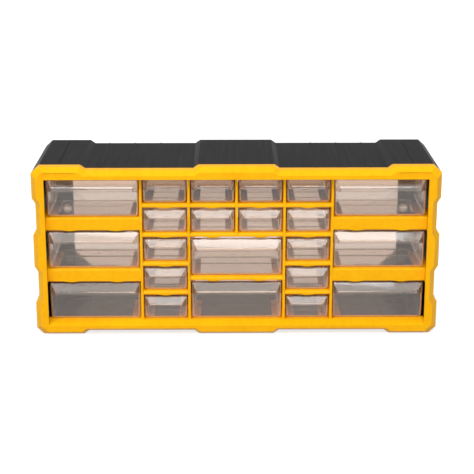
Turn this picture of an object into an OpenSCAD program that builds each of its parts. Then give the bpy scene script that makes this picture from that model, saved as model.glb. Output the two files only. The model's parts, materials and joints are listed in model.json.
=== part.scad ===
// Parts cabinet: a black moulded housing, a yellow front frame with 22 openings, and 22 clear drawers
// X runs across the front, Y runs from the front to the back, Z is up, and lengths are millimetres.
// The origin is under the middle of the cabinet, on the surface that it stands on.

/* [Cabinet] */
// Width over the side pads
cabinet_w = 490; // [470:1:520]
// Height over the top and bottom pads
cabinet_h = 210; // [205:1:225]
// Depth from the front face to the back face
cabinet_d = 160; // [150:1:180]
// Wall thickness of the housing and of the frame's outer band
wall = 2.6; // [2:0.1:3]
// How far the pads stand out from the surfaces between them
pad_rise = 4.2; // [3:0.1:5]

/* [Front frame] */
// Depth of the yellow frame where it shows beside the black housing
frame_depth = 21.6; // [20:0.1:26]
// Depth of the bevel round the front of the frame
bevel_depth = 9; // [7:0.5:10]
// How far the bevel draws the sides in
bevel_side = 6.5; // [5:0.1:7]
// How far the bevel draws the top and bottom in
bevel_top = 5; // [4:0.1:5.5]
// Width across all the drawer openings
opening_w = 458; // [440:1:458]
// Height of the bottom of the lowest openings
sill_z = 17.3; // [16:0.1:20]
// Distance from the top of the highest openings to the top of the cabinet
head_drop = 13.9; // [13:0.1:16]
// How far the bars between the drawers lie behind the front face
grid_setback = 10; // [9:0.5:12]
// Thickness of the upright dividers
divider = 3; // [2.4:0.1:3.4]
// Height of the bars between small drawers
bar = 4.6; // [4:0.1:5]
// Height of the beams between large drawers at the sides
beam = 15.5; // [12:0.1:16]
// Width of the ledges that carry the drawers
ledge_w = 12; // [8:0.5:14]
// How far the ledges reach behind the grid
ledge_reach = 72; // [60:1:80]

/* [Drawers] */
// Length of a drawer from its front wall to its back wall
drawer_l = 130; // [110:1:130]
// Wall thickness of a drawer
drawer_wall = 1.5; // [1.2:0.1:1.8]
// How far the flat front of a drawer lies behind the grid
front_setback = 6; // [5.5:0.5:8]
// How far the pull reaches forward of the flat front
pull_reach = 6.5; // [5:0.5:7]
// Clearance beside the pull
pull_gap = 0.4; // [0.3:0.1:0.8]
// Clearance beside the rim of a drawer
rim_gap = 0.8; // [0.6:0.1:1.5]
// How much narrower a drawer is at its floor, each side
draft = 0.6; // [0.3:0.1:1.5]
// Distance between the divider slots of a drawer
slot_pitch = 26.4; // [22:0.1:27]
// Clearance under a drawer, and over the stop lip at its back
run_gap = 0.4; // [0.3:0.1:0.5]
// How far the rounded stops hang down over each drawer
stop_drop = 1.3; // [1:0.1:1.5]

/* [Back] */
// Width of the open window in the back
window_w = 424.6; // [380:0.1:430]
// Height of the lower edge of the window
window_z = 38.5; // [30:0.5:50]
// Chamfer on the corners of the window
window_corner = 21.8; // [10:0.1:25]
// Width of the deeper middle part of the window, along its bottom
window_dip_w = 262; // [200:1:280]
// Height of the bottom of the deeper part
window_dip_z = 10; // [8:0.5:30]
// Distance between the two hanging holes
hang_spacing = 440; // [434:1:446]
// Height of the hanging holes
hang_z = 117.6; // [90:0.1:130]
// Radius of the hanging holes
hang_r = 5.25; // [3:0.05:5.5]

/* [Hidden] */

// Planes in depth
front_y = -cabinet_d / 2;
back_y = cabinet_d / 2;
bevel_y = front_y + bevel_depth;
joint_y = front_y + frame_depth;
grid_y = front_y + grid_setback;
drawer_y = grid_y + front_setback;
ledge_end_y = grid_y + ledge_reach;

// Castle-edged outline, each half run of pads measured from the middle of the width
middle_pad = 45.8;
pad_slope = 6;
end_pad = cabinet_w / 2 - 57.8;
corner_x = 8.5;
corner_z = 7.8;
// Pads on the sides, as heights where each one starts and stops
low_pad_top = 40.4;
mid_pad = [86.4, 125.7];
high_pad_bottom = cabinet_h - 38;
side_slope = 7.1;
// How far a pad's end moves for each millimetre of inset, where two bevels meet
mitre = 0.32;

// Openings
head_z = cabinet_h - head_drop;
small_w = (opening_w - 7 * divider) / 8;
large_w = 2 * small_w + divider;
small_h = (head_z - sill_z - 4 * bar) / 5;
large_h = (head_z - sill_z - 2 * beam) / 3;
middle_h = (3 * small_h + bar) / 2;
small_pitch = small_h + bar;
side_x = (opening_w - large_w) / 2;
inner_x = small_w / 2 + divider / 2;
outer_x = inner_x + small_w + divider;
divider_x = small_w + divider;

// Mouldings of the front frame
plate = 2.8;
bar_back_y = joint_y;
shelf_t = 1.8;
stop_half = 10;
stop_depth = 4;
stop_offset = 28;
stop_r = (pow(stop_half, 2) + pow(stop_drop, 2)) / (2 * stop_drop);
sleeve_gap = 0.2;
sleeve_t = 2;
sleeve_reach = 8.4;
tab_w = 36;
tab_h = 6.2;
tab_depth = 0.8;
tab_side = 16;
sill_lip = 4.4;

// Mouldings of the housing
groove_x = cabinet_w / 2 - 32;
groove_w = 1.2;
groove_depth = 0.7;
groove_y = [-50, 62];
rib_x = [96.5, 129.5, 162.5];
rib_w = 1.8;
rib_h = 0.4;
rail_x = 219.5;
rail_w = 2.2;

// Drawer mouldings
large_drop = [11.2, 4];
small_drop = [9.6, 3.4];
hip = 6;
corner_r = 4.5;
corner_steps = 6;
lip_inset = 8;
slot_gap = 1.6;
slot_rib = 1;
slot_depth = 1.2;
slot_floor = 0.7;
slot_first = 14.8;
large_slots = [1, 2];
small_slots = [0, 1, 2];

// Each cell: drawer name, middle of the opening, height of its floor, opening width and height,
// and the name of the crossbar that it stands on
COLUMN_LETTERS = ["a", "b", "c", "d"];
LARGE_CELLS = [
    for (side = [["left", -side_x], ["right", side_x]])
        for (row = [1:3])
            [str("large_drawer_", side[0], "_", row), side[1],
             sill_z + (3 - row) * (large_h + beam), large_w, large_h, str("beam_", side[0], "_", row)]
];
MIDDLE_CELLS = [
    for (row = [1:2])
        [str("large_drawer_middle_", row), 0,
         sill_z + (2 - row) * (middle_h + bar), large_w, middle_h, str("bar_middle_", row)]
];
SMALL_CELLS = [
    for (column = [0:3])
        for (row = [1:(column == 0 || column == 3 ? 5 : 2)])
            [str("small_drawer_", COLUMN_LETTERS[column], row),
             [-outer_x, -inner_x, inner_x, outer_x][column],
             sill_z + (5 - row) * small_pitch, small_w, small_h, str("bar_", COLUMN_LETTERS[column], row)]
];
CELLS = concat(LARGE_CELLS, MIDDLE_CELLS, SMALL_CELLS);
RAISED_CELLS = [for (cell = CELLS) if (cell[2] > sill_z) cell];
DIVIDERS = [
    ["divider_left_outer", -2 * divider_x], ["divider_left_inner", -divider_x],
    ["divider_right_inner", divider_x], ["divider_right_outer", 2 * divider_x]
];

// Right half of the castle-edged outline, from the top middle round to the bottom middle.
// The insets draw every run in, and each pad gets a little shorter as its slopes move with it.
function half_outline(in_x, in_z) = let (
    high = cabinet_h - in_z,
    low = in_z,
    wide = cabinet_w / 2 - in_x,
    narrow = wide - pad_rise,
    end = end_pad + mitre * in_z,
    middle = middle_pad - mitre * in_z,
    up = mitre * in_x
) [
    [middle, high], [middle + pad_slope, high - pad_rise],
    [end - pad_slope, high - pad_rise], [end, high],
    [wide - corner_x, high], [wide, high - corner_z],
    [wide, high_pad_bottom + up], [narrow, high_pad_bottom - side_slope + up],
    [narrow, mid_pad[1] + side_slope - up], [wide, mid_pad[1] - up],
    [wide, mid_pad[0] + up], [narrow, mid_pad[0] - side_slope + up],
    [narrow, low_pad_top + side_slope - up], [wide, low_pad_top - up],
    [wide, low + corner_z], [wide - corner_x, low],
    [end, low], [end - pad_slope, low + pad_rise],
    [middle + pad_slope, low + pad_rise], [middle, low]
];

function outline(in_x, in_z) = let (right = half_outline(in_x, in_z), last = len(right) - 1)
    concat(right, [for (i = [last:-1:0]) [-right[i][0], right[i][1]]]);

// Patches that cover the outline, as point numbers clockwise from the front. A face is split into
// triangles that all start at its first point, so each patch opens out from that point.
RIGHT_PATCHES = [
    [0, 1, 18, 19], [1, 2, 17, 18], [2, 3, 16, 17], [3, 7, 8, 11, 12, 16],
    [7, 3, 4, 5, 6], [8, 9, 10, 11], [12, 13, 14, 15, 16]
];
LAST_POINT = 39;
OUTLINE_PATCHES = concat(
    [[0, 19, 20, LAST_POINT]],
    RIGHT_PATCHES,
    [for (patch = RIGHT_PATCHES) [for (i = backwards(patch)) LAST_POINT - i]]
);

// The same patch, from the same first point, taken the other way round
function backwards(patch) = [for (i = [0:len(patch) - 1]) patch[(len(patch) - i) % len(patch)]];

// Cross-section of a drawer: slanted sides and two round bottom corners
function tub(top_w, height, r) = let (bottom = top_w / 2 - draft) concat(
    [[-top_w / 2, height]],
    [for (i = [0:corner_steps]) let (a = 180 + 90 * i / corner_steps)
        [-bottom + r + r * cos(a), r + r * sin(a)]],
    [for (i = [0:corner_steps]) let (a = 270 + 90 * i / corner_steps)
        [bottom - r + r * cos(a), r + r * sin(a)]],
    [[top_w / 2, height]]
);

// Extrudes an X-Z outline from one depth to another
module along_y(from_y, to_y) {
    translate([0, to_y, 0])
        rotate([90, 0, 0])
            linear_extrude(to_y - from_y)
                children();
}

// Extrudes a Y-Z outline over a width centred on x = 0
module along_x(width) {
    translate([-width / 2, 0, 0])
        rotate([90, 0, 90])
            linear_extrude(width)
                children();
}

// A box between two corners
module block(low, high) {
    translate(low)
        cube(high - low);
}

// A box between two places across the width, given in either order
module span(x_1, x_2, low_yz, high_yz) {
    block([min(x_1, x_2), low_yz[0], low_yz[1]], [max(x_1, x_2), high_yz[0], high_yz[1]]);
}

// The same thing on the right and on the left
module both_sides() {
    children();
    mirror([1, 0, 0])
        children();
}

// A slab whose outline is drawn in from its back plane to its front plane
module bevelled_slab(slab_back_y, back_in, slab_front_y, front_in) {
    rear = outline(back_in[0], back_in[1]);
    fore = outline(front_in[0], front_in[1]);
    n = len(rear);
    polyhedron(
        points = concat([for (p = rear) [p[0], slab_back_y, p[1]]],
                        [for (p = fore) [p[0], slab_front_y, p[1]]]),
        faces = concat(
            [for (patch = OUTLINE_PATCHES) backwards(patch)],
            [for (patch = OUTLINE_PATCHES) [for (i = patch) n + i]],
            [for (i = [0:n - 1]) [i, (i + 1) % n, n + (i + 1) % n, n + i]]
        )
    );
}

// Housing: an open-fronted box with a window and two hanging holes in its back
module housing_shell() color([0.16, 0.15, 0.15]) {
    difference() {
        along_y(joint_y, back_y)
            polygon(outline(0, 0));
        along_y(joint_y - 1, back_y - wall)
            polygon(outline(wall, wall));
        back_window();
        both_sides()
            translate([hang_spacing / 2, back_y - 2 * wall, hang_z])
                rotate([-90, 0, 0])
                    cylinder(h = 3 * wall, r = hang_r, $fn = 48);
        both_sides()
            block([groove_x - groove_w / 2, groove_y[0], cabinet_h - groove_depth],
                  [groove_x + groove_w / 2, groove_y[1], cabinet_h + 1]);
    }
    both_sides()
        for (x = rib_x)
            block([x - rib_w / 2, joint_y, cabinet_h - pad_rise - wall / 2],
                  [x + rib_w / 2, back_y, cabinet_h - pad_rise + rib_h]);
    both_sides()
        block([rail_x - rail_w / 2, joint_y + sleeve_reach + 1, wall / 2],
              [rail_x + rail_w / 2, back_y - wall / 2, sill_z]);
}

// Window in the back: as far from the top as from the bottom, and deeper in the middle
module back_window() {
    w = window_w / 2;
    top = cabinet_h - window_z;
    dip = window_dip_w / 2;
    dip_slope = window_z - window_dip_z;
    along_y(back_y - 2 * wall, back_y + 1)
        polygon([
            [-w, window_z + window_corner], [-w + window_corner, window_z],
            [-dip - dip_slope, window_z], [-dip, window_dip_z],
            [dip, window_dip_z], [dip + dip_slope, window_z],
            [w - window_corner, window_z], [w, window_z + window_corner],
            [w, top - window_corner], [w - window_corner, top],
            [-w + window_corner, top], [-w, top - window_corner]
        ]);
}

// The front frame is one yellow moulding. Its bezel, upright dividers and crossbars are drawn
// as solids that meet face to face, so that the space inside every cell stays open.
module yellow() {
    color([1, 0.74, 0.08])
        children();
}

// Bezel: a bevelled hollow band with a sill under the openings and a head over them
module front_bezel() yellow() {
    frame_band();
    frame_sleeve();
    frame_sill_and_head();
    for (wall_at = DIVIDERS)
        block([wall_at[1] - divider / 2 - ledge_w, bar_back_y - shelf_t, sill_z - shelf_t],
              [wall_at[1] + divider / 2 + ledge_w, ledge_end_y, sill_z]);
    for (cell = CELLS)
        if (cell[2] + cell[4] > head_z - bar)
            stops(cell, head_z);
    for (cell = RAISED_CELLS)
        if (abs(cell[1]) > outer_x)
            beam_end(sign(cell[1]), cell[2] - beam, cell[2]);
}

module frame_band() {
    inside = 1 - plate / bevel_depth;
    difference() {
        union() {
            along_y(bevel_y, joint_y)
                polygon(outline(0, 0));
            bevelled_slab(bevel_y, [0, 0], front_y, [bevel_side, bevel_top]);
        }
        along_y(bevel_y, joint_y + 1)
            polygon(outline(wall, wall));
        bevelled_slab(bevel_y, [wall, wall],
                      front_y + plate, [wall + inside * bevel_side, wall + inside * bevel_top]);
        block([-opening_w / 2, front_y - 1, sill_z - sill_lip],
              [opening_w / 2, bevel_y, head_z]);
        both_sides()
            block([opening_w / 2 - tab_w, front_y - 1, head_z + 2.4],
                  [opening_w / 2 + 1, front_y + tab_depth, head_z + 2.4 + tab_h]);
    }
}

// Sleeve that the housing slides over
module frame_sleeve() {
    outer = wall + sleeve_gap;
    inner = outer + sleeve_t;
    difference() {
        union() {
            along_y(joint_y, joint_y + sleeve_reach)
                polygon(outline(outer, outer));
            along_y(joint_y - sleeve_t, joint_y)
                polygon(outline(wall / 2, wall / 2));
        }
        along_y(joint_y - sleeve_t - 1, joint_y + sleeve_reach + 1)
            polygon(outline(inner, inner));
    }
}

// Sloping sill under the lowest openings, and the flat head over the highest
module frame_sill_and_head() {
    along_x(opening_w + divider)
        polygon([
            [front_y, sill_z - sill_lip], [grid_y, sill_z], [bar_back_y, sill_z],
            [bar_back_y, sill_z - shelf_t], [grid_y, sill_z - shelf_t],
            [front_y + plate, sill_z - sill_lip - shelf_t], [front_y, sill_z - sill_lip - shelf_t]
        ]);
    block([-(opening_w + divider) / 2, front_y, head_z],
          [(opening_w + divider) / 2, bar_back_y, head_z + shelf_t]);
}

// Upright wall between two columns, standing on the sill
module divider_wall(x) yellow() {
    block([x - divider / 2, grid_y, sill_z], [x + divider / 2, ledge_end_y, head_z]);
}

// The middle wall stands only between the upper small drawers, with its foot between two bars
module divider_middle() yellow() {
    foot_z = sill_z + 3 * small_pitch;
    block([-divider / 2, grid_y, foot_z - shelf_t], [divider / 2, ledge_end_y, head_z]);
    block([-divider / 2, grid_y, foot_z - bar], [divider / 2, bar_back_y, foot_z]);
}

// Crossbar under a cell, with its ledges: a solid bar, or a hollow beam in the side columns
module crossbar(cell) yellow() {
    low_x = cell[1] - cell[3] / 2;
    high_x = cell[1] + cell[3] / 2;
    at_side = abs(cell[1]) > outer_x;
    low_z = cell[2] - (at_side ? beam : bar);
    if (at_side) {
        difference() {
            block([low_x, grid_y, low_z], [high_x, bar_back_y, cell[2]]);
            block([low_x - 1, grid_y + plate, low_z + shelf_t],
                  [high_x + 1, bar_back_y + 1, cell[2] - shelf_t]);
        }
    } else {
        block([low_x, grid_y, low_z], [high_x, bar_back_y, cell[2]]);
    }
    ledge(low_x, low_x + ledge_w, cell[2]);
    ledge(high_x - ledge_w, high_x, cell[2]);
    if (at_side)
        outer_ledge(sign(cell[1]), cell[2]);
    stops(cell, low_z);
}

// A ledge that carries one side of a drawer
module ledge(low_x, high_x, top_z) {
    block([low_x, bar_back_y - shelf_t, top_z - shelf_t], [high_x, ledge_end_y, top_z]);
}

// The rest of the outermost ledge, and the web that stiffens it where no divider stands beside it
module outer_ledge(side, top_z) {
    edge = side * opening_w / 2;
    span(edge, edge + side * (plate + divider), [bar_back_y, top_z - shelf_t], [ledge_end_y, top_z]);
    span(edge - side * shelf_t, edge, [bar_back_y - shelf_t, top_z - beam], [ledge_end_y, top_z]);
}

// End of a beam, which ties it to the front plate and to the outer band
module beam_end(side, low_z, high_z) {
    near = opening_w / 2;
    far = cabinet_w / 2 - pad_rise - wall / 2;
    span(side * near, side * (near + plate), [front_y + plate / 2, low_z], [bar_back_y, high_z]);
    span(side * near, side * far, [grid_y, low_z], [grid_y + plate, high_z]);
}

// Rounded stops that hang over a drawer: two under a wide bar, one under a narrow bar
module stops(cell, top_z) {
    for (x = cell[3] > small_w ? [-stop_offset, stop_offset] : [0])
        intersection() {
            translate([cell[1] + x, grid_y, top_z - stop_drop + stop_r])
                rotate([-90, 0, 0])
                    cylinder(h = stop_depth, r = stop_r, $fn = 96);
            block([cell[1] + x - stop_half, grid_y - 1, top_z - stop_drop - 1],
                  [cell[1] + x + stop_half, bar_back_y, top_z + shelf_t / 2]);
        }
}

// Clear drawer: an open box with a pull along the top of its front
module drawer(cell) color([0.85, 0.84, 0.82, 0.6]) {
    large = cell[3] > small_w;
    front_h = (large ? large_h : small_h) - 2 * run_gap - stop_drop - 0.1;
    drops = large ? large_drop : small_drop;
    translate([cell[1], 0, cell[2] + run_gap]) {
        drawer_box(cell[3] - 2 * rim_gap, front_h);
        drawer_pull(cell[3] - 2 * pull_gap, front_h, drops[0], drops[0] + drops[1]);
    }
}

module drawer_box(top_w, front_h) {
    end_y = drawer_y + drawer_l;
    lip_h = front_h + stop_drop;
    difference() {
        union() {
            along_y(drawer_y, end_y)
                polygon(tub(top_w, front_h, corner_r));
            block([-top_w / 2 + lip_inset, end_y - drawer_wall, front_h - 1],
                  [top_w / 2 - lip_inset, end_y, lip_h]);
        }
        along_y(drawer_y + drawer_wall, end_y - drawer_wall)
            translate([0, drawer_wall])
                polygon(tub(top_w - 2 * drawer_wall, front_h, corner_r - drawer_wall));
    }
    for (place = top_w > small_w ? large_slots : small_slots)
        divider_slot(top_w, front_h, drawer_y + slot_first + place * slot_pitch);
}

// Slot across a drawer that takes a loose divider
module divider_slot(top_w, front_h, slot_y) {
    inner = top_w / 2 - drawer_wall - draft;
    for (step = [-1, 1])
        translate([0, slot_y + step * (slot_gap + slot_rib) / 2, 0]) {
            for (side = [-1, 1])
                translate([side * inner, 0, 0])
                    block([-slot_depth, -slot_rib / 2, corner_r],
                          [slot_depth, slot_rib / 2, front_h - 4 * slot_depth]);
            block([-inner + corner_r, -slot_rib / 2, drawer_wall / 2],
                  [inner - corner_r, slot_rib / 2, drawer_wall + slot_floor]);
        }
}

// Pull: a sloping awning with hipped ends, open underneath for the fingertips
module drawer_pull(width, top_z, slope_drop, drop) {
    difference() {
        pull_solid(width, top_z, slope_drop, drop, 0);
        pull_solid(width, top_z, slope_drop, drop + 1, drawer_wall);
    }
}

module pull_solid(width, top_z, slope_drop, drop, inset) {
    ridge_y = drawer_y - pull_reach + inset;
    root_y = drawer_y + (inset > 0 ? 0 : drawer_wall / 2);
    high = top_z - inset * 1.6;
    intersection() {
        along_x(width)
            polygon([
                [root_y, high], [drawer_y, high], [ridge_y, top_z - slope_drop],
                [ridge_y, top_z - drop], [root_y, top_z - drop]
            ]);
        translate([0, 0, top_z - drop - 1])
            linear_extrude(drop + 2)
                polygon([
                    [-width / 2 + inset, root_y], [-width / 2 + inset, drawer_y],
                    [-width / 2 + hip + inset, ridge_y], [width / 2 - hip - inset, ridge_y],
                    [width / 2 - inset, drawer_y], [width / 2 - inset, root_y]
                ]);
    }
}

housing_shell();
front_bezel();
divider_middle();
for (wall_at = DIVIDERS)
    divider_wall(wall_at[1]);
for (cell = RAISED_CELLS)
    crossbar(cell);
for (cell = CELLS)
    drawer(cell);
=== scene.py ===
# %% [markdown]
# # A parts cabinet with 22 clear drawers
# The cabinet is a black moulded housing with an open back, a yellow front frame that plugs into
# it, and 22 see-through drawers in two sizes. CAD has already settled every size and every joint.
# This lesson keeps those sizes and gives the pieces their edges, their wall thickness and their
# plastics. Each piece rides on the CAD body that carries it, so a drawer still slides.

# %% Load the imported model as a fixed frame
import json
import math

import bmesh
import bpy
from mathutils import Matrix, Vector


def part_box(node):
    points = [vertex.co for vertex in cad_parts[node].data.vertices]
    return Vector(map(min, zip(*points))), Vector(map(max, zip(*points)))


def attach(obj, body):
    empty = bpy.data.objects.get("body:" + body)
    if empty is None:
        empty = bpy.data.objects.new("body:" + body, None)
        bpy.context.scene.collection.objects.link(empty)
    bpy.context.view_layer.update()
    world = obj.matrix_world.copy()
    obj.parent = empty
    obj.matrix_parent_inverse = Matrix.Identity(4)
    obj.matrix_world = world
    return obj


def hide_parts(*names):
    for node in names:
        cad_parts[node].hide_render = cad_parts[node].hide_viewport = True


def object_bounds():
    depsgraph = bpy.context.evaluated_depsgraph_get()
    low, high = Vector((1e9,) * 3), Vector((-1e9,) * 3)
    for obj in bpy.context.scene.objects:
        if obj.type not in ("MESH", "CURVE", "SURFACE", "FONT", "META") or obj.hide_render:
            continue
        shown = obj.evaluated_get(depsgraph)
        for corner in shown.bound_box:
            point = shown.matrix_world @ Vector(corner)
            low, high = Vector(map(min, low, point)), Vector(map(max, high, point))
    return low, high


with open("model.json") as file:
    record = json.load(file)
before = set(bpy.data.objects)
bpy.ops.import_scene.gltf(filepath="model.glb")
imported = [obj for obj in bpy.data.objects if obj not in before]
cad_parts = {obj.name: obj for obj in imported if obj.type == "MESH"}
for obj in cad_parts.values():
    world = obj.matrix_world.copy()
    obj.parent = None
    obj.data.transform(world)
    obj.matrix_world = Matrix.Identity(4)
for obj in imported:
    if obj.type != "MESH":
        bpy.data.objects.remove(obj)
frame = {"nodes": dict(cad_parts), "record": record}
cad_low, cad_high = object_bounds()
MM = 0.001
print("cabinet", [round(side / MM, 1) for side in cad_high - cad_low], "mm")

# %% [markdown]
# ## The camera
# The photograph was taken with a long lens from straight in front and a little above. Its
# position was found by fitting a pinhole camera to the corners, the pads and the openings. A
# long lens could be faked with a wide one and a crop, but then the depth of the top would be
# wrong, so the real distance and focal length are used.

# %% Camera at the photograph's angle
CAMERA_PLACE = Vector((-12.6, -1638.1, 584.2)) * MM
CAMERA_PITCH = 16.40
CAMERA_YAW = 0.48
CAMERA_LENS = 102.86
SENSOR_WIDTH = 36.0

camera_data = bpy.data.cameras.new("photo_camera")
camera_data.sensor_width = SENSOR_WIDTH
camera_data.lens = CAMERA_LENS
camera = bpy.data.objects.new("photo_camera", camera_data)
camera.location = CAMERA_PLACE
camera.rotation_euler = (math.radians(90 - CAMERA_PITCH), 0, math.radians(-CAMERA_YAW))
bpy.context.scene.collection.objects.link(camera)
bpy.context.scene.camera = camera
print("camera", round(camera_data.lens), "mm lens at", round(CAMERA_PLACE.length, 2), "m")

# %% [markdown]
# ## Two helpers
# Colours are written as the hex values that a paint program shows, and one function turns them
# into the linear numbers that a shader multiplies. Materials are small node trees, and one
# function adds a node with its settings and links, so that a material reads as a list.

# %% Colour and node helpers
def linear(hex_colour):
    """The linear RGBA of an sRGB colour such as "#fdbb10"."""
    channels = [int(hex_colour[i:i + 2], 16) / 255 for i in (1, 3, 5)]
    return [c / 12.92 if c <= 0.04045 else ((c + 0.055) / 1.055) ** 2.4 for c in channels] + [1.0]


def add(tree, kind, inputs=None, **settings):
    """Adds a node. Settings are its properties, and inputs are values or the sockets that feed it."""
    made = tree.nodes.new(kind)
    for name, value in settings.items():
        setattr(made, name, value)
    for name, value in (inputs or {}).items():
        if isinstance(value, bpy.types.NodeSocket):
            tree.links.new(value, made.inputs[name])
        else:
            made.inputs[name].default_value = value
    return made


def new_material(name):
    """An empty node material and its output node."""
    made = bpy.data.materials.new(name)
    made.use_nodes = True
    made.node_tree.nodes.clear()
    return made, add(made.node_tree, "ShaderNodeOutputMaterial")


# A Mix node has a set of sockets for each kind of value, and these are the colour ones
MIX_A, MIX_B, MIX_RESULT = 6, 7, 2

# %% [markdown]
# ## The studio
# The photograph is a catalogue picture: white paper below and behind, and soft light that leaves
# hardly a shadow. Two clues tell where the light stood. The bevel over the openings is a quarter
# brighter than the front face, so a broad panel hangs high above the front. And the sloping
# pulls are bright in the bottom row but fade towards the top row, so a second softbox stands
# lower in front and ends where the top row's mirror angle begins. Seen directly, mirrored or
# through plastic, the paper is white up to a few degrees above the horizon and the room above it
# is dim. That dim room keeps the black top black: at this flat angle the top mirrors a fifth of
# whatever stands behind it.

# %% Paper floor, sky and soft panel
SKY_LIGHT = 0.5
PAPER_GLOW = 0.75
PAPER_TOP_ANGLE = 8
ROOM_ANGLE = 15
ROOM_GLOW = 0.2
FLOOR_REACH = 20


def seen_directly(tree):
    """1 for a ray that ends in the eye, straight, mirrored or through plastic, and 0 for light."""
    path = add(tree, "ShaderNodeLightPath")
    mirrored = add(tree, "ShaderNodeMath", {
        0: path.outputs["Is Camera Ray"], 1: path.outputs["Is Glossy Ray"]}, operation="MAXIMUM")
    seen = add(tree, "ShaderNodeMath",
               {0: mirrored.outputs[0], 1: path.outputs["Is Transmission Ray"]}, operation="MAXIMUM")
    return seen.outputs[0]


def studio_sky():
    world = bpy.data.worlds.new("studio_sky")
    world.use_nodes = True
    tree = world.node_tree
    tree.nodes.clear()
    direction = add(tree, "ShaderNodeSeparateXYZ", {0: add(tree, "ShaderNodeTexCoord").outputs["Generated"]})
    seen = add(tree, "ShaderNodeMapRange", {
        "Value": direction.outputs["Z"], "From Min": math.sin(math.radians(PAPER_TOP_ANGLE)),
        "From Max": math.sin(math.radians(ROOM_ANGLE)), "To Min": 1.0, "To Max": ROOM_GLOW})
    strength = add(tree, "ShaderNodeMapRange", {
        "Value": seen_directly(tree), "To Min": SKY_LIGHT, "To Max": seen.outputs[0]})
    sky = add(tree, "ShaderNodeBackground",
              {"Color": linear("#ffffff"), "Strength": strength.outputs[0]})
    add(tree, "ShaderNodeOutputWorld", {"Surface": sky.outputs[0]})
    return world


def white_paper():
    """Matt seamless paper. Seen directly it glows a little, so that it photographs as white."""
    made, output = new_material("matt_white_paper")
    tree = made.node_tree
    paper = add(tree, "ShaderNodeBsdfDiffuse", {"Color": linear("#b8b8b8")})
    glow_strength = add(tree, "ShaderNodeMath", {0: seen_directly(tree), 1: PAPER_GLOW}, operation="MULTIPLY")
    glow = add(tree, "ShaderNodeEmission", {"Color": linear("#ffffff"), "Strength": glow_strength.outputs[0]})
    both = add(tree, "ShaderNodeAddShader", {0: paper.outputs[0], 1: glow.outputs[0]})
    tree.links.new(both.outputs[0], output.inputs["Surface"])
    return made


def studio_floor():
    shape = bmesh.new()
    bmesh.ops.create_grid(shape, x_segments=1, y_segments=1, size=FLOOR_REACH)
    mesh = bpy.data.meshes.new("studio_floor")
    shape.to_mesh(mesh)
    shape.free()
    mesh.materials.append(white_paper())
    floor = bpy.data.objects.new("studio_floor", mesh)
    bpy.context.scene.collection.objects.link(floor)


def soft_panel(name, place, watts, width, height):
    """A lamp panel that faces the middle of the cabinet."""
    lamp = bpy.data.lights.new(name, "AREA")
    lamp.shape = "RECTANGLE"
    lamp.size = width
    lamp.size_y = height
    lamp.energy = watts
    panel = bpy.data.objects.new(name, lamp)
    panel.location = place
    panel.rotation_euler = ((cad_low + cad_high) / 2 - place).to_track_quat("-Z", "Y").to_euler()
    bpy.context.scene.collection.objects.link(panel)


studio_floor()
bpy.context.scene.world = studio_sky()
soft_panel("high_panel", Vector((-0.4, -1.55, 2.65)), watts=66, width=2.4, height=1.6)
soft_panel("low_softbox", Vector((-0.1, -2.15, 1.5)), watts=12, width=1.6, height=1.0)
bpy.context.scene.view_settings.view_transform = "Standard"
print("sky", SKY_LIGHT, "and", len(bpy.data.lights), "panels")

# %% [markdown]
# ## Moulded polypropylene
# The housing and the frame are injection-moulded polypropylene, a waxy plastic with a satin
# gloss and an index of refraction near 1.49. Three things tell the eye that it is moulded and
# not painted: the pigment drifts a little along the way the melt flowed, the tool left a fine
# spark-eroded grain, and the gloss is uneven where the melt cooled at different speeds. The
# real grain is about 0.15 mm, too fine to show at this distance, so it is drawn ten times as
# coarse and very shallow.

# %% Polypropylene in two colours
POLYPROPYLENE_IOR = 1.49
DRIFT_MM = 45
FLOW_MM = (5, 120, 5)
GRAIN_MM = 1.5
GLOSS_SPREAD = 0.03


def moulded_polypropylene(name, colour, drifted, roughness, specular, grain_depth_mm):
    made, output = new_material(name)
    tree = made.node_tree
    place = add(tree, "ShaderNodeTexCoord").outputs["Object"]
    drift = add(tree, "ShaderNodeTexNoise", {"Vector": place, "Scale": 1 / (DRIFT_MM * MM), "Detail": 3.0})
    along_flow = add(tree, "ShaderNodeMapping",
                     {"Vector": place, "Scale": [1 / (size * MM) for size in FLOW_MM]})
    flow = add(tree, "ShaderNodeTexNoise", {"Vector": along_flow.outputs[0], "Scale": 1.0, "Detail": 4.0})
    uneven = add(tree, "ShaderNodeMath", {0: drift.outputs[0], 1: flow.outputs[0]}, operation="MULTIPLY")
    share = add(tree, "ShaderNodeMapRange", {"Value": uneven.outputs[0], "From Min": 0.12, "From Max": 0.4})
    pigment = add(tree, "ShaderNodeMix",
                  {0: share.outputs[0], MIX_A: linear(colour), MIX_B: linear(drifted)}, data_type="RGBA")
    gloss = add(tree, "ShaderNodeMapRange",
                {"Value": flow.outputs[0], "From Min": 0.3, "From Max": 0.7,
                 "To Min": roughness - GLOSS_SPREAD, "To Max": roughness + GLOSS_SPREAD})
    grain = add(tree, "ShaderNodeTexNoise", {"Vector": place, "Scale": 1 / (GRAIN_MM * MM), "Detail": 2.0})
    bump = add(tree, "ShaderNodeBump",
               {"Height": grain.outputs[0], "Strength": 1.0, "Distance": grain_depth_mm * MM})
    plastic = add(tree, "ShaderNodeBsdfPrincipled", {
        "Base Color": pigment.outputs[MIX_RESULT], "Roughness": gloss.outputs[0],
        "IOR": POLYPROPYLENE_IOR, "Specular IOR Level": specular, "Normal": bump.outputs[0]})
    tree.links.new(plastic.outputs[0], output.inputs["Surface"])
    return made


yellow_polypropylene = moulded_polypropylene(
    "yellow_moulded_polypropylene", colour="#ffbc08", drifted="#fab104",
    roughness=0.42, specular=0.13, grain_depth_mm=0.02)
black_polypropylene = moulded_polypropylene(
    "black_moulded_polypropylene", colour="#1d1b1b", drifted="#211f1f",
    roughness=0.5, specular=0.2, grain_depth_mm=0.04)
print("materials", yellow_polypropylene.name, "and", black_polypropylene.name)

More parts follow.
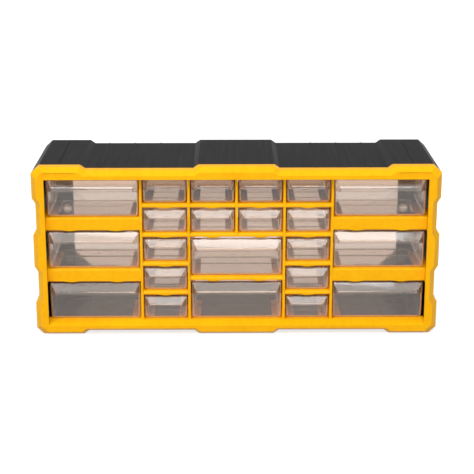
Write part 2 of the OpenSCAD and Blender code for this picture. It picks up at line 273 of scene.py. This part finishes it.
# %% [markdown]
# ## Clear polystyrene
# The drawers are crystal polystyrene: brittle, glossy, and with a high index of 1.59 that makes
# its edges flash. It has a faint warm cast. Real glass-like refraction is used and not plain
# transparency, so that the 1.5 mm walls bend what lies behind them. The bright peach line round
# each drawer's front is painted light: its border and rim get an edge plastic whose peach colour
# stands in for the light that the walls pipe from the yellow frame. Lamp light and light that has
# already bounced off something matt pass straight through instead. That leaves the look alone and
# spares the render the noise of caustics.

# %% Clear polystyrene
POLYSTYRENE_IOR = 1.59
WAVINESS_MM = 14
WAVE_DEPTH_MM = 0.004
SCATTER = 0.025
SCATTER_COLOUR = "#eaded2"
# Painted light on the cut edges: a peach colour that stands in for light piped from the yellow frame, and how
# much of it shows
PAINTED_GLOW_COLOUR = "#ffcc98"
PAINTED_GLOW_SHARE = (0.65, 0.85)
EDGE_GRAIN_MM = 2
INSIDE_LIGHT_SHARE = 0.35


def clear_polystyrene():
    made, output = new_material("clear_polystyrene")
    tree = made.node_tree
    place = add(tree, "ShaderNodeTexCoord").outputs["Object"]
    waves = add(tree, "ShaderNodeTexNoise", {"Vector": place, "Scale": 1 / (WAVINESS_MM * MM), "Detail": 2.0})
    bump = add(tree, "ShaderNodeBump",
               {"Height": waves.outputs[0], "Strength": 1.0, "Distance": WAVE_DEPTH_MM * MM})
    haze = add(tree, "ShaderNodeMapRange",
               {"Value": waves.outputs[0], "From Min": 0.35, "From Max": 0.7, "To Min": 0.02, "To Max": 0.07})
    solid = add(tree, "ShaderNodeBsdfPrincipled", {
        "Base Color": linear("#f1e6dd"), "Roughness": haze.outputs[0], "IOR": POLYSTYRENE_IOR,
        "Transmission Weight": 1.0, "Normal": bump.outputs[0]})
    front_light = add(tree, "ShaderNodeBsdfDiffuse", {"Color": linear(SCATTER_COLOUR)})
    back_light = add(tree, "ShaderNodeBsdfTranslucent", {"Color": linear(SCATTER_COLOUR)})
    scatter = add(tree, "ShaderNodeMixShader", {0: 0.5, 1: front_light.outputs[0], 2: back_light.outputs[0]})
    milky = add(tree, "ShaderNodeMixShader", {0: SCATTER, 1: solid.outputs[0], 2: scatter.outputs[0]})
    passing = add(tree, "ShaderNodeBsdfTransparent", {"Color": linear("#f8f2ee")})
    path = add(tree, "ShaderNodeLightPath")
    lets_through = add(tree, "ShaderNodeMath", {
        0: path.outputs["Is Shadow Ray"], 1: path.outputs["Is Diffuse Ray"]}, operation="MAXIMUM")
    mixed = add(tree, "ShaderNodeMixShader",
                {0: lets_through.outputs[0], 1: milky.outputs[0], 2: passing.outputs[0]})
    tree.links.new(mixed.outputs[0], output.inputs["Surface"])
    return made


def polystyrene_edge_with_painted_glow():
    """Cut edges of clear plastic with a painted glow: their peach colour stands in for the light they pipe
    like a fibre's end from the yellow frame.
    """
    made, output = new_material("clear_polystyrene_painted_edge_glow")
    tree = made.node_tree
    place = add(tree, "ShaderNodeTexCoord").outputs["Object"]
    grain = add(tree, "ShaderNodeTexNoise",
                {"Vector": place, "Scale": 1 / (EDGE_GRAIN_MM * MM), "Detail": 2.0})
    amount = add(tree, "ShaderNodeMapRange", {
        "Value": grain.outputs[0], "From Min": 0.3, "From Max": 0.7,
        "To Min": PAINTED_GLOW_SHARE[0], "To Max": PAINTED_GLOW_SHARE[1]})
    solid = add(tree, "ShaderNodeBsdfPrincipled", {
        "Base Color": linear("#f1e5dc"), "Roughness": 0.2,
        "IOR": POLYSTYRENE_IOR, "Transmission Weight": 1.0})
    outside_light = add(tree, "ShaderNodeBsdfDiffuse", {"Color": linear(PAINTED_GLOW_COLOUR)})
    inside_light = add(tree, "ShaderNodeBsdfTranslucent", {"Color": linear(PAINTED_GLOW_COLOUR)})
    # The painted peach glow, half lit from outside and a share lit from inside
    painted_frame_glow = add(tree, "ShaderNodeMixShader", {
        0: INSIDE_LIGHT_SHARE, 1: outside_light.outputs[0], 2: inside_light.outputs[0]})
    mixed = add(tree, "ShaderNodeMixShader",
                {0: amount.outputs[0], 1: solid.outputs[0], 2: painted_frame_glow.outputs[0]})
    tree.links.new(mixed.outputs[0], output.inputs["Surface"])
    return made


crystal = clear_polystyrene()
crystal_painted_glow = polystyrene_edge_with_painted_glow()
print("materials", crystal.name, "and", crystal_painted_glow.name)

# %% [markdown]
# ## Small tools for solids
# Every drawer wall has two faces with plastic between them, because refraction needs a closed
# solid. The shapes are simple, so they are made as stacks of level outlines and as small boxes,
# and joined or carved with exact booleans. Edges that a hand would feel are rounded before the
# joining, while each shape still has only a few edges.

# %% Solids, rounding and booleans
def to_object(shape, name):
    """Turns a bmesh into a linked object."""
    bmesh.ops.recalc_face_normals(shape, faces=shape.faces)
    mesh = bpy.data.meshes.new(name)
    shape.to_mesh(mesh)
    shape.free()
    made = bpy.data.objects.new(name, mesh)
    bpy.context.scene.collection.objects.link(made)
    return made


def stack_of_outlines(shape, outlines):
    """A closed solid through level outlines that all have the same number of points."""
    rings = [[shape.verts.new(point) for point in outline] for outline in outlines]
    count = len(rings[0])
    for low, high in zip(rings, rings[1:]):
        for i in range(count):
            j = (i + 1) % count
            shape.faces.new((low[i], low[j], high[j], high[i]))
    shape.faces.new(rings[0][::-1])
    shape.faces.new(rings[-1])


def rounded_box(shape, low, high, radius):
    """A box between two corners whose edges are rounded."""
    made = bmesh.ops.create_cube(shape, size=1)["verts"]
    low, high = Vector(low), Vector(high)
    for vertex in made:
        vertex.co = (low + high) / 2 + vertex.co * (high - low)
    edges = list({edge for vertex in made for edge in vertex.link_edges})
    bmesh.ops.bevel(shape, geom=edges, offset=radius, segments=2, profile=0.5, affect="EDGES")


def applied(thing):
    """Makes the result of an object's modifiers its own mesh."""
    graph = bpy.context.evaluated_depsgraph_get()
    result = bpy.data.meshes.new_from_object(thing.evaluated_get(graph))
    thing.modifiers.clear()
    thing.data = result
    return thing


def combined(base, tool, operation):
    """Joins tool to base, or carves it out, and removes tool."""
    step = base.modifiers.new("combine", "BOOLEAN")
    step.operation = operation
    step.solver = "EXACT"
    step.use_self = operation == "UNION"
    step.object = tool
    applied(base)
    bpy.data.objects.remove(tool)
    return base


def flats_kept_flat(thing):
    """Smooth shading in which the wide faces decide: a flat stays flat, and its rounding turns."""
    step = thing.modifiers.new("flats_stay_flat", "WEIGHTED_NORMAL")
    step.mode = "FACE_AREA"
    step.weight = 100
    step.keep_sharp = True


def loose_edges(thing):
    """How many edges don't have exactly two faces: 0 for a closed solid."""
    shape = bmesh.new()
    shape.from_mesh(thing.data)
    count = sum(len(edge.link_faces) != 2 for edge in shape.edges)
    shape.free()
    return count

# %% [markdown]
# ## A drawer
# A drawer is one moulding: an open box with drafted sides and round lower corners, a flat front,
# and a pull that runs along the top of the front like a steep awning with hipped ends, open
# below for the fingertips. Inside are pairs of thin ribs that hold a loose divider, and the
# small raised spot where the plastic entered the mould. A lip at the top of the back wall
# catches on the frame's stops. It is built once for each of the two sizes, in its own
# coordinates: the flat front lies at y = 0 and the underside at z = 0. The front's panel is sunk
# a hair behind a U-shaped border. That border and the rim carry the edge plastic, whose peach
# colour is painted light: it stands in for the glow that the cut edges pipe from the yellow frame.

# %% Drawer sizes
WALL = 1.5 * MM
SIDE_DRAFT = 0.6 * MM
FLOOR_CORNER = 4.5 * MM
RIM_STEP = 0.4 * MM
RIM_ROUND = 0.3 * MM
UPRIGHT_CORNER = 1.2 * MM
STOP_LIP = 1.3 * MM
PANEL_DEPTH = 0.15 * MM
FRONT_BORDER = 2.1 * MM
LIP_INSET = 8 * MM
PULL_REACH = 6.5 * MM
PULL_HIP = 6 * MM
PULL_ROOT = 1.35 * MM
PULL_ROUND = 0.6 * MM
PULL_SPACE_ROUND = 0.3 * MM
PULL_TOP_WALL = 1.7 * WALL
PULL_SLOPE_CUT = 0.7 * WALL
SLOT_FIRST = 14.8 * MM
SLOT_PITCH = 26.4 * MM
SLOT_GAP = 1.6 * MM
SLOT_RIB = 1.0 * MM
SLOT_DEPTH = 1.2 * MM
FLOOR_RIB = 0.7 * MM
RIB_ROUND = 0.25 * MM
LIP_ROUND = 0.4 * MM
GATE_Y = 56 * MM
GATE_RADIUS_MM = 1.9
GATE_RISE_MM = 0.45
ARC_STEPS = 8
SIZES = {
    "large": {"sample": "large_drawer_left_1", "slope": 11.2 * MM, "lip": 4.0 * MM, "slots": (1, 2)},
    "small": {"sample": "small_drawer_a1", "slope": 9.6 * MM, "lip": 3.4 * MM, "slots": (0, 1, 2)},
}

# %% The open box
def level_outline(half_w, front, back, radius, height):
    """A level rectangle with round corners, as points counter-clockwise from above."""
    points = []
    corners = ((1, back, -1), (-1, back, -1), (-1, front, 1), (1, front, 1))
    for quarter, (side, end, inward) in enumerate(corners):
        for step in range(ARC_STEPS // 2 + 1):
            angle = math.radians(90 * (quarter + step / (ARC_STEPS // 2)))
            points.append((side * (half_w - radius) + radius * math.cos(angle),
                           end + inward * radius + radius * math.sin(angle), height))
    return points


def tub_outlines(half_w, length, height, inset):
    """The box's surface, inset from the outside: 0 for the outer one, the wall for the inner."""
    round_r = FLOOR_CORNER - inset
    upright_r = max(UPRIGHT_CORNER - inset, 0.4 * MM)
    floor_half = half_w - SIDE_DRAFT - inset
    outlines = []
    for step in range(ARC_STEPS + 1):
        turn = math.radians(90 * step / ARC_STEPS)
        rise = round_r * (1 - math.cos(turn))
        end_round = upright_r - math.sqrt(max(upright_r ** 2 - max(upright_r - rise, 0) ** 2, 0))
        outlines.append(level_outline(floor_half - round_r * (1 - math.sin(turn)), inset + end_round,
                                      length - inset - end_round, upright_r, inset + rise))
    flare = RIM_ROUND if inset else -RIM_ROUND
    top_half = half_w - inset
    for rise, out in ((height - RIM_ROUND, 0), (height, flare)):
        outlines.append(level_outline(top_half + out, inset - out, length - inset + out, upright_r, rise))
    if inset:
        outlines.append(level_outline(top_half + flare, inset - flare, length - inset + flare,
                                      upright_r, height + FLOOR_CORNER))
    return outlines


def panel_outline(half_w, top, y):
    """The outline of the front's flat panel: inside the border, and open at the top."""
    radius = FLOOR_CORNER - FRONT_BORDER
    low_half = half_w - SIDE_DRAFT - FRONT_BORDER
    points = [(half_w - FRONT_BORDER, y, top), (FRONT_BORDER - half_w, y, top)]
    for side, first in ((-1, 180), (1, 270)):
        for step in range(ARC_STEPS // 2 + 1):
            angle = math.radians(first + 90 * step / (ARC_STEPS // 2))
            points.append((side * (low_half - radius) + radius * math.cos(angle), y,
                           FRONT_BORDER + radius + radius * math.sin(angle)))
    return points


def open_box(half_w, length, height):
    outer, inner, panel = bmesh.new(), bmesh.new(), bmesh.new()
    stack_of_outlines(outer, tub_outlines(half_w, length, height, 0))
    stack_of_outlines(inner, tub_outlines(half_w, length, height, WALL))
    stack_of_outlines(panel, [panel_outline(half_w, height + WALL, y) for y in (-WALL, PANEL_DEPTH)])
    box = combined(to_object(outer, "drawer_box"), to_object(inner, "drawer_space"), "DIFFERENCE")
    return combined(box, to_object(panel, "front_panel"), "DIFFERENCE")

# %% The pull
def awning(half_w, reach, top, slope, lip, root, rounding):
    """A closed wedge with hipped ends: root is how far back it starts, at the front wall."""
    shape = bmesh.new()
    foot, bottom = top - slope, top - slope - lip
    ends = []
    for side in (-1, 1):
        ends.append([shape.verts.new(point) for point in (
            (side * half_w, root, bottom), (side * half_w, root, top),
            (side * half_w, 0, top), (side * half_w, 0, bottom),
            (side * (half_w - PULL_HIP), -reach, foot), (side * (half_w - PULL_HIP), -reach, bottom))])
    for low_back, high_back, high_front, low_front, ridge, edge in ends:
        shape.faces.new((low_back, high_back, high_front, low_front))
        shape.faces.new((low_front, high_front, ridge, edge))
    left, right = ends
    for a, b in ((0, 1), (1, 2), (2, 4), (4, 5)):
        shape.faces.new((left[a], left[b], right[b], right[a]))
    shape.faces.new((left[0], left[3], left[5], right[5], right[3], right[0]))
    bmesh.ops.recalc_face_normals(shape, faces=shape.faces)
    folds = [(left[4], right[4]), (left[2], left[4]), (right[2], right[4]),
             (left[4], left[5]), (right[4], right[5]), (left[2], right[2])]
    edges = [shape.edges.get(pair) for pair in folds]
    bmesh.ops.bevel(shape, geom=edges, offset=rounding, segments=3, profile=0.5, affect="EDGES")
    return shape


def drawer_pull(half_w, top, slope, lip):
    outside = awning(half_w, PULL_REACH, top, slope, lip, PULL_ROOT, PULL_ROUND)
    inside = awning(half_w - WALL, PULL_REACH - WALL, top - PULL_TOP_WALL, slope - PULL_SLOPE_CUT,
                    lip + FLOOR_CORNER, PULL_ROOT / 2, PULL_SPACE_ROUND)
    return combined(to_object(outside, "drawer_pull"), to_object(inside, "pull_space"), "DIFFERENCE")

# %% Ribs, lip and gate mark
def small_details(half_w, length, height, slots):
    shape = bmesh.new()
    inner = half_w - WALL - SIDE_DRAFT
    for slot in slots:
        for step in (-1, 1):
            y = SLOT_FIRST + slot * SLOT_PITCH + step * (SLOT_GAP + SLOT_RIB) / 2
            near, far = y - SLOT_RIB / 2, y + SLOT_RIB / 2
            rounded_box(shape, (-inner + FLOOR_CORNER, near, WALL / 2),
                        (inner - FLOOR_CORNER, far, WALL + FLOOR_RIB), RIB_ROUND)
            for side in (-1, 1):
                rounded_box(shape, (side * inner - SLOT_DEPTH, near, FLOOR_CORNER),
                            (side * inner + SLOT_DEPTH, far, height - 4 * SLOT_DEPTH), RIB_ROUND)
    rounded_box(shape, (-half_w + LIP_INSET, length - WALL, height - 3 * STOP_LIP),
                (half_w - LIP_INSET, length, height + STOP_LIP), LIP_ROUND)
    return to_object(shape, "drawer_details")


def gate_mark():
    """The low dome left on the floor where the melt entered the mould."""
    shape = bmesh.new()
    bmesh.ops.create_uvsphere(shape, u_segments=24, v_segments=12, radius=1.0)
    for vertex in shape.verts:
        vertex.co = Vector((vertex.co.x * GATE_RADIUS_MM, vertex.co.y * GATE_RADIUS_MM,
                            vertex.co.z * GATE_RISE_MM)) * MM
        vertex.co += Vector((0, GATE_Y, WALL))
    return to_object(shape, "gate_mark")

# %% Two drawer meshes
SMOOTH_ANGLE = math.radians(32)
# How far a face's normal points up on the rim, and forward on the border and on its rounding
RIM_UP = 0.55
BORDER_FORWARD = 0.9
ROUNDING_FORWARD = (0.15, 0.95)


def has_painted_edge_glow(face, half_w, height):
    """True for the rim, and for the flat border of the front with the rounding around it: the faces that get
    the painted peach glow.
    """
    forward = -face.normal.y
    on_rim = face.normal.z > RIM_UP and face.center.z > height - 2 * RIM_ROUND
    in_front_plane = forward > BORDER_FORWARD and abs(face.center.y) < PANEL_DEPTH / 3
    at_outline = (face.center.z < UPRIGHT_CORNER
                  or abs(face.center.x) > half_w - UPRIGHT_CORNER - SIDE_DRAFT)
    rounding = (ROUNDING_FORWARD[0] < forward < ROUNDING_FORWARD[1]
                and 0 < face.center.y < UPRIGHT_CORNER and at_outline)
    return on_rim or in_front_plane or rounding


def drawer_mesh(size):
    """Builds the drawer of one size and returns its mesh."""
    low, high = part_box(size["sample"])
    pull_half = (high.x - low.x) / 2
    half_w = pull_half - RIM_STEP
    height = high.z - low.z - STOP_LIP
    length = high.y - low.y - PULL_REACH
    drawer = open_box(half_w, length, height)
    combined(drawer, small_details(half_w, length, height, size["slots"]), "UNION")
    combined(drawer, gate_mark(), "UNION")
    combined(drawer, drawer_pull(pull_half, height, size["slope"], size["lip"]), "UNION")
    drawer.data.set_sharp_from_angle(angle=SMOOTH_ANGLE)
    flats_kept_flat(drawer)
    mesh = applied(drawer).data
    mesh.materials.clear()
    mesh.materials.append(crystal)
    mesh.materials.append(crystal_painted_glow)
    # The rim and the front's border get the edge plastic with its painted peach glow
    for face in mesh.polygons:
        face.material_index = int(has_painted_edge_glow(face, half_w, height))
    print(size["sample"], len(mesh.polygons), "faces,", loose_edges(drawer), "loose edges")
    bpy.data.objects.remove(drawer)
    return mesh


drawer_meshes = {kind: drawer_mesh(size) for kind, size in SIZES.items()}

# %% [markdown]
# ## 22 drawers
# All drawers of a size share one mesh, as all of them came out of one mould. Each is placed by
# the box of its CAD drawer, stands for that node, and rides on that drawer's own body.

# %% Place the drawers
drawer_nodes = [name for name in frame["nodes"] if "drawer" in name]
for name in drawer_nodes:
    low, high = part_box(name)
    drawer = bpy.data.objects.new("clear_" + name, drawer_meshes[name.split("_")[0]])
    drawer.location = ((low.x + high.x) / 2, low.y + PULL_REACH, low.z)
    bpy.context.scene.collection.objects.link(drawer)
    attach(drawer, name)
    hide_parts(name)
print(len(drawer_nodes), "drawers")

# %% [markdown]
# ## The front frame as one moulding
# CAD holds the yellow frame as a bezel, dividers and crossbars that meet face to face, so that a
# simulation can put things into every drawer. The real frame is one moulding without seams. The
# CAD meshes are copied and united, so the seams go, and then one bevel rounds every sharp edge a
# little, as a mould does.

# %% Copy, clean and unite CAD solids
WELD_GAP = 0.005 * MM
FLAT_ANGLE = math.radians(0.5)


def clean_copy(mesh, name):
    """Merges split corners and dissolves the points and lines that a flat face doesn't need."""
    shape = bmesh.new()
    shape.from_mesh(mesh)
    bmesh.ops.remove_doubles(shape, verts=shape.verts, dist=WELD_GAP)
    bmesh.ops.dissolve_limit(shape, angle_limit=FLAT_ANGLE, verts=shape.verts, edges=shape.edges)
    return to_object(shape, name)


def cad_solid(node):
    return clean_copy(frame["nodes"][node].data, "solid_of_" + node)


def united(solids, name):
    """One closed moulding from solids that meet face to face, in triangles, which bevel safely."""
    rough = solids[0]
    for solid in solids[1:]:
        combined(rough, solid, "UNION")
    made = clean_copy(rough.data, name)
    bpy.data.objects.remove(rough)
    shape = bmesh.new()
    shape.from_mesh(made.data)
    bmesh.ops.triangulate(shape, faces=shape.faces, quad_method="BEAUTY", ngon_method="BEAUTY")
    shape.to_mesh(made.data)
    shape.free()
    print(name, "from", len(solids), "solids:", len(made.data.polygons), "faces,",
          loose_edges(made), "loose edges")
    return made

# %% [markdown]
# In the photograph every crossbar has a bright line along its top and a dark one along its
# bottom, and the thin bars in the middle are bright over most of their height. A flat bar can't
# show that, so each crossbar's front edges are rounded before it joins the frame: above by 3 mm
# on a thin bar and by 2 mm on a tall beam, and below by 1 mm.

# %% Round the crossbars
GRID_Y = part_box("divider_left_outer")[0].y
ROUND_ABOVE = {"bar": 3.0 * MM, "beam": 2.0 * MM}
ROUND_BELOW = 1.0 * MM
FACES_STRAIGHT = 0.9


def grid_front_edges(shape, facing):
    """Edges between the grid's front plane and a face that looks up (1) or down (-1)."""
    return [edge for edge in shape.edges
            if all(abs(vertex.co.y - GRID_Y) < WELD_GAP for vertex in edge.verts)
            and any(facing * face.normal.z > FACES_STRAIGHT for face in edge.link_faces)]


def yellow_solid(node):
    """A solid of the frame, with its front edges rounded if it is a crossbar."""
    solid = cad_solid(node)
    kind = node.split("_")[0]
    if kind in ROUND_ABOVE:
        shape = bmesh.new()
        shape.from_mesh(solid.data)
        for facing, radius, segments in ((1, ROUND_ABOVE[kind], 6), (-1, ROUND_BELOW, 4)):
            bmesh.ops.bevel(shape, geom=grid_front_edges(shape, facing), offset=radius, segments=segments,
                            profile=0.5, affect="EDGES", clamp_overlap=False)
        shape.to_mesh(solid.data)
        shape.free()
    return solid


yellow_nodes = [part["node"] for part in frame["record"]["subparts"]
                if part["material_slot"] == "yellow_frame"]
front_frame = united([yellow_solid(node) for node in yellow_nodes], "front_frame_moulding")

# %% Round its edges and give it its plastic
SHARP_ANGLE = math.radians(25)
# The land above the head's sunken tabs is only 0.3 mm wide, so its two edges get less than half each
FRAME_EDGE_ROUND = 0.14 * MM
# The housing's smallest ribs stand 0.4 mm high
HOUSING_EDGE_ROUND = 0.18 * MM


def finished(thing, edge_round, plastic, nodes):
    """Rounds every edge that is sharp, keeps the flats flat, gives the moulding its plastic and rides it on
    the cabinet in place of its CAD nodes.
    """
    thing.data.set_sharp_from_angle(angle=SHARP_ANGLE)
    step = thing.modifiers.new("mould_edges", "BEVEL")
    step.width = edge_round
    step.segments = 2
    step.use_clamp_overlap = False
    step.limit_method = "ANGLE"
    step.angle_limit = SHARP_ANGLE
    flats_kept_flat(thing)
    thing.data.materials.append(plastic)
    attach(thing, "cabinet")
    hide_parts(*nodes)


finished(front_frame, FRAME_EDGE_ROUND, yellow_polypropylene, yellow_nodes)

# %% [markdown]
# ## The housing
# The black housing is a plain open box with castle-edged sides, and its CAD shape is right as
# it is. Its copy gets the same cleaning and finish. Its smallest ribs stand 0.4 mm high, so the
# edges are rounded by less than half of that.

# %% Finish the housing
housing = united([cad_solid("housing_shell")], "housing_moulding")
finished(housing, HOUSING_EDGE_ROUND, black_polypropylene, ["housing_shell"])
